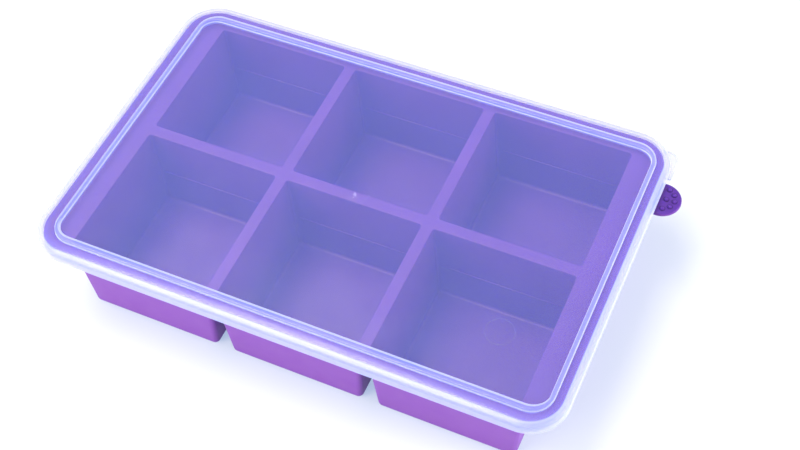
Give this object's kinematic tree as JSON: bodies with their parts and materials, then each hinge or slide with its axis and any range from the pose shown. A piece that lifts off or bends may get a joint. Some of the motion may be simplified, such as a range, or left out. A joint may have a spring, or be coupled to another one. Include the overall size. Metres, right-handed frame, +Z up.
{
  "type": "freezer tray",
  "caption": "Soft rectangular freezer tray of tapered square cups with a raised rim, a bumped thumb tab and a translucent lift-off lid that seats on the rim.",
  "frame": {"origin": "middle of the whole footprint, tabs included, on the surface that the cups stand on", "axes": "+X along the long side towards the thumb tab, +Y to the back, +Z up"},
  "size_m": [0.2869, 0.1806, 0.057],
  "materials": {
    "silicone": "satin",
    "lid_plastic": "satin"
  },
  "bodies": {
    "tray": {"tray": "silicone"},
    "lid": {"lid": "lid_plastic"}
  },
  "joints": [
    {"name": "lid_lift", "type": "slide", "parent": "tray", "child": "lid", "axis": [0, 0, 1], "range_m": [0, 0.12]}
  ]
}
